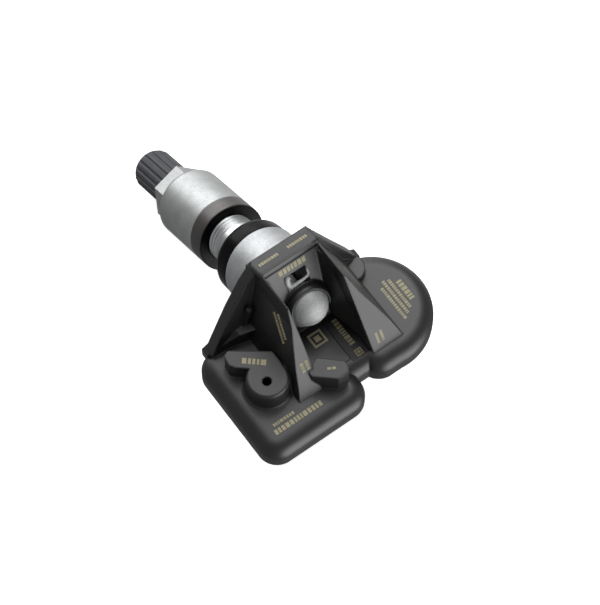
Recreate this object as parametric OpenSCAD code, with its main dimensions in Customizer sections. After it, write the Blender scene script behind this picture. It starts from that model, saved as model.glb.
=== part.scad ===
// Tyre pressure sensor with an adjustable clamp-in valve, in millimetres.
// The valve leaves towards -Y and dips below the base, +X is the side of the square lobe, +Z is up.
// The origin lies on the valve's axis, in the middle of the free stem stretch that holds the wheel rim.

/* [Base housing] */
// Height of the flat housing under the bracket
base_h = 8; // [7.6:0.1:8.6]
// Reach of the square lobe to the side of the valve's middle plane
lobe_reach = 25.4; // [25:0.1:26.4]
// Reach of the square lobe to the back, from the base's own zero line
back_reach = 27.5; // [27:0.1:28.4]
// Reach of the front edge, from the base's own zero line
front_reach = 1.6; // [1.4:0.1:2.2]
// Outer radius of the round battery lobe
cell_lobe_r = 13.3; // [13.2:0.1:13.8]
// Distance of the battery lobe's middle from the valve's middle plane
cell_x = 13.2; // [13.1:0.1:13.6]
// Distance of the battery lobe's middle from the zero line
cell_y = 11; // [10.9:0.1:11.2]
// Rounding of the upper outer edges
edge_r = 3.4; // [2.8:0.1:3.6]
// Rounding of the lower outer edges
foot_r = 2.2; // [1.6:0.1:2.4]
// Radius of the square lobe's upright corners
corner_r = 4.7; // [4.4:0.1:5]
// Depth line of the notch between the two lobes
notch_y = 21.7; // [21.4:0.1:22]

/* [Bracket] */
// Height of the bracket's top above the underside
bracket_h = 27.7; // [27:0.1:28.4]
// Width of the channel between the two legs
channel_w = 13.8; // [13.4:0.1:14.2]
// Where the sloping leg edges meet the base
leg_end_y = 20; // [19.4:0.1:20.6]
// Where the level leg edges start to slope down
leg_knee_y = 8.1; // [7.6:0.1:8.8]
// Thickness of the leaning front flare
flare_t = 2.6; // [2.2:0.1:3]
// Lean of the front flare from upright, in degrees
flare_lean = 12.2; // [11:0.2:13.4]
// Thickness of the seat wall along the valve
seat_wall = 5.6; // [5.4:0.1:6]
// Top of the seat wall above the valve's axis
seat_top = 13.7; // [13.4:0.1:14]
// Width of the window in the seat wall
window_w = 5.4; // [5:0.1:6]

/* [Pads and pressure port] */
// Height of the two bar pads and the port boss above the underside
pad_z = 13; // [12:0.2:13.4]
// Radius of the pressure port boss at its top
boss_r = 4.5; // [4.2:0.1:4.8]
// Radius of the pressure port hole
port_r = 1; // [0.8:0.05:1.2]

/* [Valve angle] */
// Dip of the valve below the plane of the base, in degrees
valve_tilt = 27; // [25:0.5:28]
// Distance of the ball's middle from the zero line
ball_y = 4.8; // [4.7:0.1:5]
// Height of the ball's middle above the underside
ball_z = 15.5; // [15.3:0.1:15.8]
// Distance from the ball's middle to the front face of the rubber seal
seat_s = 23.5; // [23.2:0.1:23.8]
// Length of the smooth stem stretch for the wheel rim
rim_l = 4.4; // [4:0.1:4.6]

/* [Ball bolt] */
// Diameter of the ball head
ball_d = 9.6; // [9.2:0.1:9.8]
// Diameter of the neck between ball and stem
neck_d = 5.2; // [4.8:0.1:5.2]
// Radial gap between ball and socket
ball_gap = 0.05; // [0.03:0.01:0.08]

/* [Valve stem] */
// Diameter of the stem where it passes the rim
stem_d = 11.3; // [11.1:0.05:11.4]
// Distance from the ball to the collar's back face
collar_s = 8.5; // [8.3:0.1:8.8]
// Diameter of the bright collar
collar_d = 18.3; // [17.8:0.1:18.6]
// Distance from the ball to the seal's back face
seal_s = 18.85; // [18.5:0.05:19.2]
// Diameter of the rubber seal
seal_d = 17.7; // [17.2:0.1:18]
// Pitch of the stem thread
stem_pitch = 1; // [0.8:0.1:1.2]
// Diameter of the slim part of the stem inside the nut
slim_d = 9.2; // [9:0.1:9.6]
// Diameter of the valve mouth thread
mouth_d = 7.7; // [7.6:0.05:7.8]
// Distance from the ball to the end of the valve mouth
mouth_s = 66.5; // [66.3:0.1:66.9]

/* [Clamp nut and ring] */
// Distance from the ball to the ring's near face
ring_s = 31.3; // [31:0.1:31.6]
// Length of the dark ring
ring_l = 4.1; // [3.8:0.1:4.4]
// Diameter of the dark ring
ring_d = 16.3; // [16:0.1:16.6]
// Length of the clamp nut
nut_l = 19.7; // [19.5:0.1:20]
// Length of the hexagon at the nut's outer end
hex_l = 3.1; // [2.9:0.1:3.6]
// Width across the flats of the nut
nut_af = 12; // [11.8:0.1:12.4]
// Turn of the hexagon about the valve axis, in degrees
hex_turn = 73; // [60:1:90]

/* [Valve cap] */
// Length of the valve cap
cap_l = 12.6; // [12.2:0.1:12.8]
// Diameter over the cap's ribs
cap_d = 9.8; // [9.6:0.1:10]
// Number of ribs on the cap
cap_ribs = 18; // [14:1:20]

/* [Valve core] */
// Travel of the core pin
pin_stroke = 1; // [0.8:0.1:1.2]
// Diameter of the core pin
pin_d = 1; // [0.9:0.05:1.1]
// Number of turns of the core spring
spring_turns = 9; // [7:1:11]

/* [Electronics] */
// Diameter of the round cell
cell_d = 20; // [19.8:0.1:20]
// Thickness of the round cell
cell_t = 3.2; // [3:0.1:3.2]
// Thickness of the bottom cover
cover_t = 1.2; // [1:0.1:1.2]
// Thickness of the circuit board
board_t = 0.8; // [0.6:0.1:0.8]

/* [Hidden] */
// Facets of round shapes
$fn = 72;
// Small overlap between solids that are joined
eps = 0.02;
// Outer wall of the housing
wall = 1.5;
// Ball middle as seen from the origin
rim_s = seat_s + rim_l / 2;
ball_back = rim_s * cos(valve_tilt);
ball_up = rim_s * sin(valve_tilt);
// Front face of the seat wall along the valve
seat_face = seat_wall - 0.1;
// Running gap of ring and nut on the stem
nut_gap = 0.06;
// Start and end of the nut along the valve
nut_s = ring_s + ring_l;
nut_end = nut_s + nut_l;
// How far ring and nut can run towards the seal
nut_run = 5;
// Ends of the rim stretch and of the stem thread, which stays inside the nut's wide bore
rim_end = seat_s + rim_l;
thread_end = nut_end - 5.8 - nut_run;
// Thickness of the seal in the cap and of the cap's end wall
cap_seal_t = 0.58;
cap_wall = 0.9;
// Start of the cap, which closes on the valve mouth
cap_s = mouth_s + cap_seal_t + 0.02 + cap_wall - cap_l;
// Start of the slim mouth section of the stem, just inside the cap's edge
mouth_start = cap_s - 0.6;
// Air way of the stem: widened bore, its cone and the thread for the core
wide_s = mouth_s - 18.5;
cone_s = mouth_s - 5.9;
// Underside of board and cell
board_z = cover_t + 1.2;
cell_z = cover_t + 0.2;
// Half widths and end of the front notch in the base
notch_half = 9.9;
notch_in = 8.4;
front_notch_y = 1;
// Corner of the round lobe's shoulder and turn of the edge that joins it to the notch
shoulder_x = 7.4;
shoulder_y = cell_y + cell_lobe_r - 0.1;
shoulder_turn = 29.6;
// How far the square lobe reaches past the valve's middle plane
lobe_inner = 1.4;
// Margins of cover recess, cover and board bay from the outline
recess_in = 2.64;
cover_in = 2.7;
// How much nearer recess and cover come to the upright walls of the front notch
notch_in_less = 1.3;
bay_in = 3.2;
// Far corner of the board bay and of the board
bay_x = lobe_reach - bay_in;
bay_y = back_reach - bay_in;
board_x = bay_x - 0.4;
board_y = bay_y - 0.4;
// Near side of the front bay
bay_x0 = 11.6;
// Pressure port, as seen from the square lobe's far corner
port_dx = -8.8;
port_dy = -13.9;

// Every separate piece, by name

// Local Z runs out along the valve from the ball's middle, local Y is up across it.
module valve_frame() {
    translate([0, ball_back, ball_up])
        rotate([90 + valve_tilt, 0, 0])
            children();
}

// The base's own zero line and underside.
module base_frame() {
    translate([0, ball_back - ball_y, ball_up - ball_z])
        children();
}

// Valve frame seen from within the base frame.
module valve_in_base(tip = 0) {
    translate([0, ball_y, ball_z])
        rotate([90 + valve_tilt + tip, 0, 0])
            children();
}

// Frame in the far corner of the square lobe, where its electronics sit.
module lobe_frame() {
    translate([lobe_reach, back_reach, 0])
        children();
}

// Side profile of a slab with its outer edge rounded above and below.
module edge_profile(len) {
    square([len - edge_r, base_h]);
    square([len - foot_r, base_h - edge_r]);
    translate([0, foot_r])
        square([len, base_h - edge_r - foot_r]);
    translate([len - edge_r, base_h - edge_r])
        circle(edge_r);
    translate([len - foot_r, foot_r])
        circle(foot_r);
}

// Upright post with both edges rounded.
module round_post(r) {
    rotate_extrude()
        intersection() {
            edge_profile(r);
            square([r, base_h]);
        }
}

// Slab along X whose rounded edge faces the back.
module back_slab(x0, x1, y0, y1) {
    translate([x0, y0, 0])
        rotate([90, 0, 90])
            linear_extrude(x1 - x0)
                edge_profile(y1 - y0);
}

// Slab along X whose rounded edge faces the front.
module front_slab(x0, x1, y0, y1) {
    translate([x1, y1, 0])
        rotate([90, 0, -90])
            linear_extrude(x1 - x0)
                edge_profile(y1 - y0);
}

// Slab along Y whose rounded edge faces the side.
module side_slab(x0, x1, y0, y1) {
    translate([x0, y1, 0])
        rotate([90, 0, 0])
            linear_extrude(y1 - y0)
                edge_profile(x1 - x0);
}

// Square lobe, middle strip and round cell lobe in one solid.
module base_block() {
    xl = lobe_reach - corner_r;
    yb = back_reach - corner_r;
    yf = corner_r - front_reach;
    xr = corner_r - lobe_inner;
    bend = corner_r * tan(shoulder_turn / 2);
    difference() {
        union() {
            back_slab(xr, xl, yf, back_reach);
            front_slab(xr, xl, -front_reach, yf + 4);
            side_slab(xr, lobe_reach, yf, yb);
            mirror([1, 0, 0])
                side_slab(-xr, lobe_inner, 8, yb);
            for (p = [[xl, yb], [xl, yf], [xr, yb]]) {
                translate([p[0], p[1], 0])
                    round_post(corner_r);
            }
            translate([0.5, 0.3, 0])
                cube([xr, 12, base_h]);
            back_slab(-cell_x, xr, 0, notch_y);
            back_slab(-cell_x, -shoulder_x - bend, 4, shoulder_y);
            translate([-shoulder_x - bend, shoulder_y - corner_r, 0])
                round_post(corner_r);
            translate([-shoulder_x, shoulder_y, 0])
                rotate([0, 0, -shoulder_turn])
                    back_slab(bend, 6, -9, 0);
            translate([-cell_x, cell_y, 0])
                round_post(cell_lobe_r);
        }
        translate([0, 0, -1])
            linear_extrude(base_h + 2)
                front_notch(0);
    }
}

// Front notch for the collar in plan, grown by a margin.
module front_notch(m) {
    a = notch_half + m;
    b = notch_in + m;
    polygon([[-a, -front_reach - 2], [a, -front_reach - 2], [a, m - front_reach],
        [b, front_notch_y + m], [-b, front_notch_y + m], [-a, m - front_reach]]);
}

// Outline of the base drawn inwards by a margin, used for cover and hollow.
module outline(m) {
    r = corner_r - m;
    xl = lobe_reach - corner_r;
    yb = back_reach - corner_r;
    yf = corner_r - front_reach;
    xr = corner_r - lobe_inner;
    difference() {
        union() {
            translate([xr, yf - r])
                square([xl - xr, yb - yf + 2 * r]);
            translate([xr, yf])
                square([xl + r - xr, yb - yf]);
            translate([xr - r, 12])
                square([r + 1, yb - 12]);
            for (p = [[xl, yb], [xl, yf], [xr, yb]]) {
                translate([p[0], p[1]])
                    circle(r);
            }
            translate([-cell_x, front_notch_y + m - notch_in_less])
                square([cell_x + xr + 1, notch_y - front_notch_y - 2 * m + notch_in_less]);
            translate([-cell_x, cell_y])
                square([cell_x - shoulder_x - m, shoulder_y - cell_y - m]);
            translate([-cell_x, cell_y])
                circle(cell_lobe_r - m);
        }
        front_notch(m - notch_in_less);
    }
}

// Front flare, a leaning plate that spreads down to both lobes.
module flare() {
    k = 1 / cos(flare_lean);
    translate([0, -0.3, 0])
        rotate([90 + flare_lean, 0, 0])
            translate([0, 0, -flare_t])
                linear_extrude(flare_t)
                    polygon([[-7.6, 26.2 * k], [-8.6, 24.2 * k], [-11.6, 18.8 * k],
                        [-15.9, 11.3 * k], [-18, 7 * k], [-18, 5], [21.6, 5], [21.6, 8.2 * k],
                        [18.5, 12.6 * k], [14.7, 17.9 * k], [10.4, 23 * k], [6.8, 26.2 * k]]);
}

// Seat wall across the channel, square to the valve.
module seat_wall_block() {
    half = channel_w / 2 + 0.2;
    valve_in_base()
        translate([-half, -14, -0.1])
            cube([2 * half, seat_top + 14, seat_wall]);
}

// Cross-section of a leg in the XZ plane, side +1 or -1.
module leg_section(side) {
    in = channel_w / 2;
    if (side > 0) {
        polygon([[in, 4], [in, bracket_h], [in + 0.35, bracket_h], [8, 23.4], [9.4, 19.2],
            [10.7, 15], [11.8, 10.7], [12.8, base_h - 0.4], [12.8, 4]]);
    } else {
        polygon([[-in, 4], [-in, bracket_h], [-in - 0.35, bracket_h], [-9, 22], [-11.1, 17.4],
            [-13.1, 12.7], [-14.8, base_h - 0.4], [-14.8, 4]]);
    }
}

// One leg: the cross-section run from front to back and cut to the side view.
module leg(side) {
    slope = (bracket_h - 0.1 - base_h) / (leg_end_y - leg_knee_y);
    intersection() {
        translate([0, leg_end_y + 2, 0])
            rotate([90, 0, 0])
                linear_extrude(leg_end_y + 9.3)
                    leg_section(side);
        translate([-20, 0, 0])
            rotate([90, 0, 90])
                linear_extrude(40)
                    polygon([[-2.6, 5], [-6.3, 25.3], [-1.3, bracket_h],
                        [leg_knee_y, bracket_h - 0.1], [leg_end_y + 1.3, base_h - 1.3 * slope],
                        [leg_end_y + 1.3, 5]]);
    }
}

// Sloping fillet solid between flare and leg on one side, up to the pocket's ledge.
module gusset(x_in, x_ledge, x_foot, y_back) {
    intersection() {
        translate([0, y_back, 0])
            rotate([90, 0, 0])
                linear_extrude(y_back + 4)
                    polygon([[x_in, 5], [x_foot, 5], [x_foot, base_h], [x_ledge, 12.2], [x_in, 12.2]]);
        linear_extrude(30)
            polygon([[x_in, -2.5], [x_foot, -2.5], [x_foot, -0.4],
                [x_ledge + (x_foot - x_ledge) * 0.4, 0.5], [x_in, y_back]]);
    }
}

// Points of the arc of radius r that rounds corner b on its way from a to c.
function corner_arc(a, b, c, r) =
    let (p = (a - b) / norm(a - b),
        q = (c - b) / norm(c - b),
        half = acos(p * q) / 2,
        middle = b + (p + q) / norm(p + q) * r / sin(half),
        start = b + p * r / tan(half) - middle,
        stop = b + q * r / tan(half) - middle)
    [for (i = [0 : 4])
        let (d = start * (4 - i) + stop * i)
        middle + d / norm(d) * r];

// Polygon with every corner rounded to radius r.
module round_polygon(pts, r) {
    n = len(pts);
    polygon([for (i = [0 : n - 1])
        each corner_arc(pts[(i + n - 1) % n], pts[i], pts[(i + 1) % n], r)]);
}

// Bar pad with rounded upright edges, drawn in plan.
module bar_pad(pts) {
    linear_extrude(pad_z)
        round_polygon(pts, 0.7);
}

// Pressure port boss with a flared foot.
module port_boss() {
    translate([port_dx - 0.6, port_dy - 0.6, 0])
        rotate_extrude()
            polygon([[0, 5], [5.7, 5], [5.7, base_h], [5.1, base_h + 0.5], [4.85, base_h + 1.5],
                [boss_r + 0.1, pad_z - 0.4], [boss_r - 0.3, pad_z], [0, pad_z]]);
}

// Raised ring around the ball on the back of the seat wall.
module ball_ring() {
    valve_in_base()
        rotate_extrude()
            polygon([[3, 1], [5.9, 1], [5.9, -0.2], [5.6, -0.5], [5.2, -0.9], [3, -0.9]]);
}

// Wedge on a leg's inner side, which narrows the channel towards the ball.
module channel_wedge() {
    intersection() {
        translate([-channel_w / 2 - 0.1, -2, base_h - 2])
            cube([3.6, 24, bracket_h - base_h]);
        translate([-6.5, -1.2, 27.5])
            rotate([0, -14.3, 15])
                translate([-40, -40, -40])
                    cube([40, 80, 80]);
    }
}

// Cutter that rounds one upper corner of the bracket to radius r.
module top_corner(r) {
    translate([0, 14, 0])
        rotate([90, 0, 0])
            linear_extrude(26)
                difference() {
                    translate([7.9 - r, bracket_h - r])
                        square([r + 6, r + 6]);
                    translate([7.9 - r, bracket_h - r])
                        circle(r);
                }
}

// Hollow for the electronics, open to the underside.
module inner_hollow() {
    translate([0, 0, -1])
        linear_extrude(cover_t + 1)
            outline(recess_in);
    // Cell pocket
    translate([-cell_x, cell_y, 0])
        cylinder(h = cell_z + cell_t + 0.4, r = cell_d / 2 + 0.2);
    // Board bay with more height at the front and at the back
    translate([bay_x0, 1.4, 0])
        cube([bay_x - bay_x0, bay_y - 1.4, 6.4]);
    translate([1.8, 7.4, 0])
        cube([bay_x - 1.8, bay_y - 7.4, 5.2]);
    translate([1.8, bay_y - 2.3, 0])
        cube([bay_x - 1.8, 2.3, 6.4]);
    // Room for chip and seal under the port
    translate([bay_x + bay_in + port_dx - 3.8, bay_y + bay_in + port_dy - 3.8, 0])
        cube([7.6, 7.6, 6.4]);
    // Passage for the cell tabs
    translate([-6, 8, 0])
        cube([9, 9, 5]);
}

// Room for the collar in all swivel positions.
module collar_room() {
    for (a = [-8, -2.7, 2.7, 8]) {
        valve_in_base(a)
            translate([0, 0, collar_s - 0.6])
                cylinder(h = 34, r = collar_d / 2 + 0.55);
    }
}

// Room for ball and neck, with the upright slot for the swivel.
module ball_room() {
    valve_in_base() {
        rotate_extrude()
            intersection() {
                circle(ball_d / 2 + ball_gap);
                translate([0, -10])
                    square([10, 20]);
            }
        translate([0, 0, -8])
            cylinder(h = 8, r = ball_d / 2 + ball_gap);
    }
    for (a = [-8, -4, 0, 4, 8]) {
        valve_in_base(a)
            cylinder(h = seat_wall + 3, r = neck_d / 2 + 0.25);
    }
    // Window above the ball, open down to the neck
    valve_in_base() {
        translate([-window_w / 2, 0, -0.15])
            cube([window_w, 9.5, seat_wall + 4]);
        translate([-window_w / 2, 6.3, -4])
            cube([window_w, 3.2, 6]);
    }
}

// Small leaning rib in the pocket beside the flare.
module pocket_hook() {
    translate([12.2, -0.9, 11])
        rotate([0, -14, 0])
            cube([1.2, 1.1, 7]);
}

module housing() {
    color("#1b1b1d")
        base_frame()
            difference() {
                union() {
                    base_block();
                    difference() {
                        union() {
                            flare();
                            gusset(6, 14.8, 22.3, 3.6);
                            mirror([1, 0, 0])
                                gusset(6, 13.4, 18.2, 3);
                        }
                        // Nothing of the flare fills the channel behind the seat wall
                        translate([-channel_w / 2, 3.2, base_h])
                            cube([channel_w, 6, 6]);
                    }
                    intersection() {
                        seat_wall_block();
                        translate([-20, -20, 5])
                            cube([40, 60, 40]);
                    }
                    leg(1);
                    leg(-1);
                    channel_wedge();
                    mirror([1, 0, 0])
                        channel_wedge();
                    // Rounded foot that closes the pocket on the round lobe's side
                    translate([-14.2, 1.5, 5])
                        cylinder(h = 5.2, r = 3.2);
                    ball_ring();
                    bar_pad([[19.2, 3], [20.6, 3.6], [21, 5.8], [20.2, 7.1], [12.5, 13.6],
                        [11.6, 12], [11.6, 8.6]]);
                    bar_pad([[5, 15.2], [8.4, 17.2], [8.3, 18.3], [4, 22.1], [1.2, 22],
                        [0.5, 20.6], [0.5, 19.4]]);
                    lobe_frame()
                        port_boss();
                    pocket_hook();
                }
                top_corner(1.5);
                mirror([1, 0, 0])
                    top_corner(2.6);
                // Long recess beside the raised strip of the channel floor
                translate([-channel_w / 2, 6.4, base_h - 1.6])
                    cube([channel_w / 2 - 2.4, 12.4, 4]);
                translate([-2.4, 6.4, base_h - 0.5])
                    cube([2.4 + channel_w / 2, 11.6, 4]);
                collar_room();
                ball_room();
                inner_hollow();
                // Pressure port
                lobe_frame()
                    translate([port_dx, port_dy, 4])
                        cylinder(h = 12, r = port_r);
            }
}

module base_cover() {
    color("#232326")
        base_frame() {
            linear_extrude(cover_t)
                outline(cover_in);
            for (p = [[4, 9], [bay_x - 1.8, 3.4], [4, bay_y - 1.8], [bay_x - 1.8, bay_y - 1.8]]) {
                translate([p[0], p[1], cover_t - eps])
                    cylinder(h = 1.2 + eps, r = 1.1);
            }
        }
}

module circuit_board() {
    color("#1e5a34")
        base_frame()
            translate([0, 0, board_z])
                linear_extrude(board_t)
                    difference() {
                        union() {
                            translate([2.3, 7.9])
                                square([board_x - 2.3, board_y - 7.9]);
                            translate([bay_x0 + 0.6, 1.8])
                                square([board_x - bay_x0 - 0.6, 7]);
                        }
                        translate([board_x - 4.2, board_y - 3.4])
                            circle(0.8);
                    }
}

module board_parts() {
    z = board_z + board_t;
    color("#8a7a5c")
        base_frame() {
            for (p = [[4, -3.9], [6.4, -3.9], [4, -1.6], [6.4, -1.6], [10.4, -1.6]]) {
                translate([p[0], board_y + p[1], z])
                    cube([1.6, 0.8, 0.7]);
            }
            for (dy = [-5.4, -3.4]) {
                translate([board_x - 1.9, board_y + dy, z])
                    cube([1.6, 0.8, 0.7]);
            }
        }
}

module sensor_chip() {
    z = board_z + board_t;
    color("#2a2a2c")
        base_frame()
            lobe_frame()
                difference() {
                    translate([port_dx - 3.5, port_dy - 3.5, z])
                        cube([7, 7, 1.8]);
                    translate([port_dx, port_dy, z + 0.9])
                        cylinder(h = 2, r = 0.9);
                }
}

module port_seal() {
    z = board_z + board_t + 1.8;
    color("#7d8085")
        base_frame()
            lobe_frame()
                translate([port_dx, port_dy, z])
                    difference() {
                        cylinder(h = 6.4 - z, r = 2.4);
                        translate([0, 0, -1])
                            cylinder(h = 5, r = 1.3);
                    }
}

// Long wound core for the wake-up coil: two end blocks and the bar between them.
module lf_core() {
    z = board_z + board_t;
    x0 = bay_x0 + 1.4;
    x1 = board_x - 0.4;
    color("#3a3a3d")
        base_frame() {
            translate([x0, 2.2, z])
                cube([1.4, 2.8, 2.4]);
            translate([x1 - 1.4, 2.2, z])
                cube([1.4, 2.8, 2.4]);
            translate([x0 + 0.6, 2.8, z + 0.5])
                cube([x1 - x0 - 1.2, 1.6, 1.4]);
        }
}

module lf_winding() {
    z = board_z + board_t;
    x0 = bay_x0 + 1.4;
    x1 = board_x - 0.4;
    color("#b06a34")
        base_frame()
            difference() {
                translate([x0 + 1.45, 2.4, z + 0.1])
                    cube([x1 - x0 - 2.9, 2.4, 2.2]);
                translate([x0, 2.78, z + 0.48])
                    cube([x1 - x0, 1.64, 1.44]);
            }
}

module rf_antenna() {
    z = board_z + board_t;
    y = board_y - 0.6;
    color("#c9a24b")
        base_frame() {
            translate([3, y, z])
                cube([15, 0.4, 2.2]);
            translate([3, y - 0.8, z])
                cube([0.8, 1, 0.3]);
            translate([17.2, y - 0.8, z])
                cube([0.8, 1, 0.3]);
        }
}

module crystal() {
    z = board_z + board_t;
    color("#c8c9cc")
        base_frame()
            translate([5, 10.4, z])
                cube([3.2, 2.5, 0.9]);
}

module round_cell() {
    color("#c3c5c8")
        base_frame()
            translate([-cell_x, cell_y, cell_z])
                rotate_extrude()
                    polygon([[0, 0], [cell_d / 2 - 1.2, 0], [cell_d / 2 - 1, 0.3],
                        [cell_d / 2, 0.3], [cell_d / 2, cell_t - 0.1], [cell_d / 2 - 0.1, cell_t],
                        [0, cell_t]]);
}

module cell_tab_top() {
    z = cell_z + cell_t;
    color("#b9bbbf")
        base_frame() {
            translate([-9, 10, z])
                cube([12.2, 3, 0.2]);
            translate([3, 10, board_z + board_t])
                cube([0.2, 3, z - board_z - board_t + 0.2]);
        }
}

module cell_tab_bottom() {
    color("#b9bbbf")
        base_frame() {
            translate([-9, 13.6, cover_t])
                cube([10.2, 3, 0.2]);
            translate([1, 13.6, cover_t])
                cube([0.2, 3, board_z - cover_t]);
            translate([1, 13.6, board_z - 0.2])
                cube([2.6, 3, 0.2]);
        }
}

module ball_bolt() {
    color("#a9abad")
        valve_frame()
            difference() {
                union() {
                    rotate_extrude()
                        intersection() {
                            circle(ball_d / 2);
                            translate([0, -10])
                                square([10, 20]);
                        }
                    cylinder(h = collar_s + 0.5, r = neck_d / 2);
                    cylinder(h = collar_s + 8, r = 2.2);
                }
                translate([0, 0, 5.5])
                    cylinder(h = 14, r = 0.8);
                translate([0, 0, 7])
                    rotate([90, 0, 0])
                        cylinder(h = 8, r = 0.7, center = true);
            }
}

// One saw-tooth run of rings that stands for a fine thread.
module thread_rings(r, depth, pitch, z0, z1) {
    n = floor((z1 - z0) / pitch);
    for (i = [0 : n - 1]) {
        translate([0, 0, z0 + i * pitch])
            rotate_extrude()
                polygon([[r - depth - 0.6, 0], [r - depth, 0], [r, pitch * 0.42],
                    [r, pitch * 0.58], [r - depth, pitch], [r - depth - 0.6, pitch]]);
    }
}

module valve_stem() {
    sr = stem_d / 2;
    color("#b4b6b8")
        valve_frame()
            difference() {
                union() {
                    translate([0, 0, collar_s])
                        cylinder(h = 1.7, r = 7.6);
                    translate([0, 0, collar_s + 1.6])
                        cylinder(h = seal_s - collar_s - 1.6, r = sr);
                    translate([0, 0, seal_s - eps])
                        cylinder(h = seat_s - seal_s + 2 * eps, r = sr - 0.2);
                    translate([0, 0, seat_s])
                        cylinder(h = rim_l, r = sr);
                    translate([0, 0, rim_end - eps])
                        cylinder(h = thread_end - rim_end + eps, r = sr - 0.34);
                    thread_rings(sr, 0.36, stem_pitch, rim_end + 0.1, thread_end);
                    translate([0, 0, thread_end - eps])
                        cylinder(h = mouth_start - thread_end + 2 * eps, r = slim_d / 2);
                    translate([0, 0, mouth_start])
                        cylinder(h = mouth_s - 0.5 - mouth_start, r = mouth_d / 2 - 0.3);
                    thread_rings(mouth_d / 2, 0.32, 0.794, mouth_s - 8.3, mouth_s - 0.9);
                    translate([0, 0, mouth_s - 1])
                        cylinder(h = 1, r1 = mouth_d / 2 - 0.3, r2 = mouth_d / 2 - 0.6);
                }
                // Socket for the ball bolt
                translate([0, 0, collar_s - 1])
                    cylinder(h = 1.52, r = neck_d / 2 + 0.02);
                cylinder(h = collar_s + 9, r = 2.22);
                // Air way
                cylinder(h = mouth_s - 5, r = 1.4);
                translate([0, 0, wide_s])
                    cylinder(h = cone_s - wide_s, r = 2.1);
                translate([0, 0, cone_s])
                    cylinder(h = 1, r1 = 2.1, r2 = 2.65);
                translate([0, 0, cone_s + 1])
                    cylinder(h = 10, r = 2.65);
            }
}

module stem_collar() {
    cr = collar_d / 2;
    color("#d2d4d6")
        valve_frame()
            rotate_extrude()
                polygon([[7.65, collar_s], [cr - 0.7, collar_s], [cr, collar_s + 0.7], [cr, seal_s - 0.5],
                    [cr - 0.4, seal_s], [stem_d / 2 + 0.02, seal_s], [stem_d / 2 + 0.02, collar_s + 1.72],
                    [7.65, collar_s + 1.72]]);
}

module rim_seal() {
    r = seal_d / 2;
    color("#141415")
        valve_frame()
            rotate_extrude()
                polygon([[stem_d / 2 - 0.18, seal_s + 0.01], [r + 0.1, seal_s + 0.01],
                    [r + 0.1, seal_s + 1.2], [r, seat_s - 1.1], [r - 0.3, seat_s - 0.3],
                    [r - 0.8, seat_s], [stem_d / 2 - 0.18, seat_s]]);
}

module slide_ring() {
    r = ring_d / 2;
    color("#2c2a29")
        valve_frame()
            rotate_extrude()
                polygon([[stem_d / 2 + nut_gap + 0.25, ring_s], [r - 0.25, ring_s], [r, ring_s + 0.25],
                    [r, nut_s - 0.02], [stem_d / 2 + nut_gap, nut_s - 0.02],
                    [stem_d / 2 + nut_gap, ring_s + 0.3]]);
}

module clamp_nut() {
    r = ring_d / 2;
    e = 1.2;
    f = nut_end - hex_l;
    color("#c2c4c6")
        valve_frame()
            difference() {
                union() {
                    translate([0, 0, nut_s])
                        cylinder(h = 0.31, r1 = r - 0.3, r2 = r);
                    translate([0, 0, nut_s + 0.3])
                        cylinder(h = f - e - nut_s - 0.3, r = r);
                    // Rounded shoulder in front of the hexagon
                    rotate_extrude() {
                        translate([r - e, f - e])
                            circle(e);
                        translate([r - e - 2.4, f - e - 1])
                            square([2.4, e + 1]);
                    }
                    translate([0, 0, f - e])
                        rotate([0, 0, hex_turn + 30])
                            cylinder(h = nut_end - f + e, r = nut_af / 2 / cos(30), $fn = 6);
                }
                translate([0, 0, nut_s - 1])
                    cylinder(h = nut_end - 4.7 - nut_s, r = stem_d / 2 + nut_gap);
                translate([0, 0, nut_end - 5.71])
                    cylinder(h = 0.82, r1 = stem_d / 2 + nut_gap, r2 = cap_d / 2 + 0.15);
                translate([0, 0, nut_end - 5])
                    cylinder(h = 6, r = cap_d / 2 + 0.15);
            }
}

module valve_cap() {
    r = cap_d / 2;
    color("#26272a")
        valve_frame()
            difference() {
                translate([0, 0, cap_s])
                    rotate_extrude()
                        polygon([[mouth_d / 2 + 0.1, 0], [r - 0.3, 0], [r, 0.3], [r, cap_l - 1.3],
                            [r - 0.4, cap_l - 0.5], [r - 1, cap_l], [0, cap_l],
                            [0, cap_l - cap_wall], [3.3, cap_l - cap_wall],
                            [3.3, mouth_s + 0.04 - cap_s], [mouth_d / 2 + 0.1, mouth_s + 0.04 - cap_s]]);
                for (i = [0 : cap_ribs - 1]) {
                    rotate([0, 0, i * 360 / cap_ribs])
                        translate([r + 0.18, 0, cap_s + 1.1])
                            cylinder(h = cap_l, r = 0.52, $fn = 24);
                }
            }
}

module cap_seal() {
    color("#3a3a3c")
        valve_frame()
            translate([0, 0, mouth_s])
                difference() {
                    cylinder(h = cap_seal_t, r = 3.2);
                    translate([0, 0, -1])
                        cylinder(h = 3, r = 1.4);
                }
}

// Frame in the valve mouth, where the core is screwed in.
module mouth_frame() {
    valve_frame()
        translate([0, 0, mouth_s])
            children();
}

module core_body() {
    color("#c7a34a")
        mouth_frame()
            rotate_extrude()
                polygon([[0.95, -14.5], [1.7, -14.5], [1.7, -4.6], [2.6, -4.4], [2.6, -0.9], [2.3, -0.6],
                    [0.6, -0.6], [0.6, -1.4], [1.25, -1.6], [1.25, -13.5], [0.6, -13.7], [0.6, -14.1]]);
}

module core_gasket() {
    color("#e4e2da")
        mouth_frame()
            rotate_extrude()
                polygon([[1.72, -6.2], [2.05, -6.2], [2.05, -5.9], [2.58, -4.9], [2.58, -4.6],
                    [1.72, -4.65]]);
}

module core_pin() {
    color("#b78f3a")
        mouth_frame() {
            translate([0, 0, -16.1])
                cylinder(h = 15.9, r = pin_d / 2);
            translate([0, 0, -4.1])
                cylinder(h = 0.6, r = 1.1);
        }
}

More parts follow.
